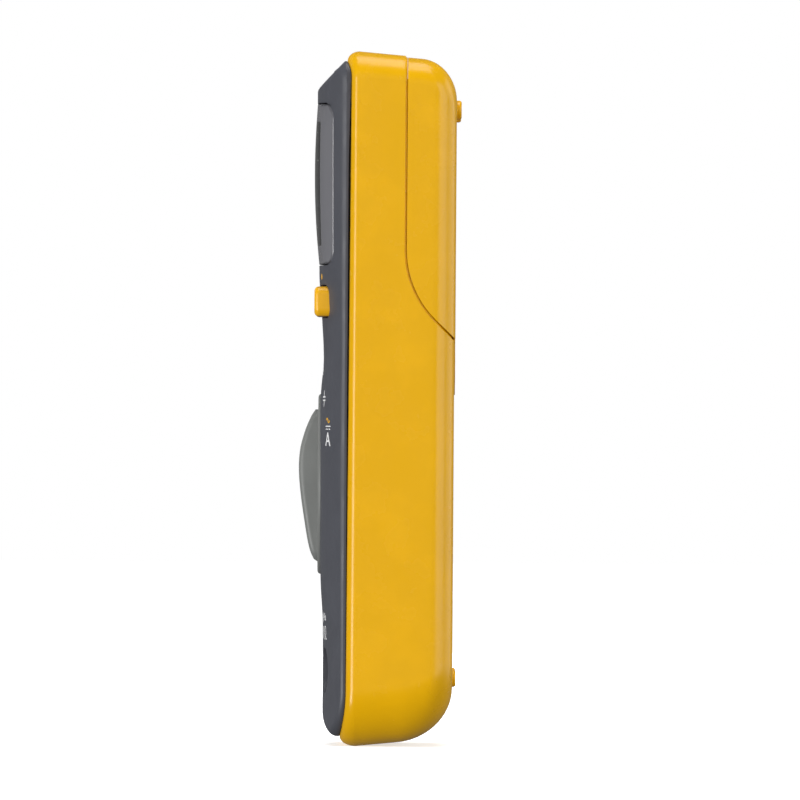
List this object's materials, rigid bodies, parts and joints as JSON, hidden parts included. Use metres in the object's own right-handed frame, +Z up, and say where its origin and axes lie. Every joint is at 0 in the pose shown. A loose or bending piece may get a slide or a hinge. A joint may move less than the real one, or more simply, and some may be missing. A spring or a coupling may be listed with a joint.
{
  "type": "handheld digital multimeter",
  "caption": "Pocket digital multimeter with a display, push buttons, a rotary function selector, recessed test lead jacks and a lift-off battery door on its back.",
  "frame": {"origin": "middle of the overall box, at the lowest point of the meter's bottom end", "axes": "+Z up to the display end, -Y out of the front, +X to the user's right as they read the display"},
  "size_m": [0.069, 0.033, 0.142],
  "materials": {
    "yellow_shell": "fine moulded texture",
    "grey_shell": "fine moulded texture",
    "knob_plastic": "satin",
    "clear_lens": "polished",
    "orange_key": "satin",
    "grey_key": "satin",
    "white_mark": "satin",
    "display_glass": "polished",
    "white_plastic": "satin",
    "elastomer": "matt",
    "grey_rubber": "matt",
    "black_rubber": "matt",
    "board": "solder mask",
    "black_liner": "moulded",
    "red_liner": "moulded",
    "black_part": "moulded",
    "orange_part": "dipped",
    "plated_steel": "nickel plated",
    "brass": "turned",
    "ceramic": "glazed",
    "cell_jacket": "printed film"
  },
  "bodies": {
    "housing": {"rear_case": "yellow_shell", "front_case": "grey_shell", "display_lens": "clear_lens", "lcd_panel": "display_glass", "lcd_frame": "white_plastic", "backlight_guide": "white_plastic", "zebra_strip_lower": "elastomer", "zebra_strip_upper": "elastomer", "keypad_membrane": "grey_rubber", "detent_ring": "white_plastic", "main_board": "board", "meter_chip": "black_part", "buzzer": "black_part", "ptc_thermistor": "orange_part", "fuse": "ceramic", "fuse_clip_left": "plated_steel", "fuse_clip_right": "plated_steel", "jack_liner_current": "red_liner", "jack_liner_common": "black_liner", "jack_liner_volts": "red_liner", "jack_contact_current": "brass", "jack_contact_common": "brass", "jack_contact_volts": "brass", "battery_cell_left": "cell_jacket", "battery_cell_right": "cell_jacket", "battery_spring_left": "plated_steel", "battery_spring_right": "plated_steel", "battery_plate_left": "plated_steel", "battery_plate_right": "plated_steel", "case_seal": "black_rubber", "case_screw_1": "plated_steel", "case_screw_2": "plated_steel", "case_screw_3": "plated_steel", "case_screw_4": "plated_steel"},
    "selector": {"function_knob": "knob_plastic", "knob_pointer": "white_mark", "switch_rotor": "white_plastic", "switch_wiper_1": "brass", "switch_wiper_2": "brass", "switch_wiper_3": "brass"},
    "key_hold": {"button_hold": "grey_key"},
    "key_range": {"button_range": "grey_key"},
    "key_light": {"button_light": "grey_key"},
    "key_function": {"button_function": "orange_key"},
    "battery_cover": {"battery_door": "yellow_shell"},
    "cover_lock": {"door_fastener": "plated_steel"}
  },
  "joints": [
    {"name": "selector_turn", "type": "hinge", "parent": "housing", "child": "selector", "pos_m": [0, -0.01252, 0.0535], "axis": [0, -1, 0], "range_deg": [-72, 72]},
    {"name": "button_hold_press", "type": "slide", "parent": "housing", "child": "key_hold", "axis": [0, 1, 0], "range_m": [0, 0.0008], "stiffness_N_per_m": 1800},
    {"name": "button_range_press", "type": "slide", "parent": "housing", "child": "key_range", "axis": [0, 1, 0], "range_m": [0, 0.0008], "stiffness_N_per_m": 1800},
    {"name": "button_light_press", "type": "slide", "parent": "housing", "child": "key_light", "axis": [0, 1, 0], "range_m": [0, 0.0008], "stiffness_N_per_m": 1800},
    {"name": "button_function_press", "type": "slide", "parent": "housing", "child": "key_function", "axis": [0, 1, 0], "range_m": [0, 0.0008], "stiffness_N_per_m": 1800},
    {"name": "battery_cover_lift", "type": "slide", "parent": "housing", "child": "battery_cover", "axis": [0, 1, 0], "range_m": [0, 0.025]},
    {"name": "cover_lock_turn", "type": "hinge", "parent": "battery_cover", "child": "cover_lock", "pos_m": [0, 0.01553, 0.0775], "axis": [0, 1, 0], "range_deg": [0, 90]}
  ]
}
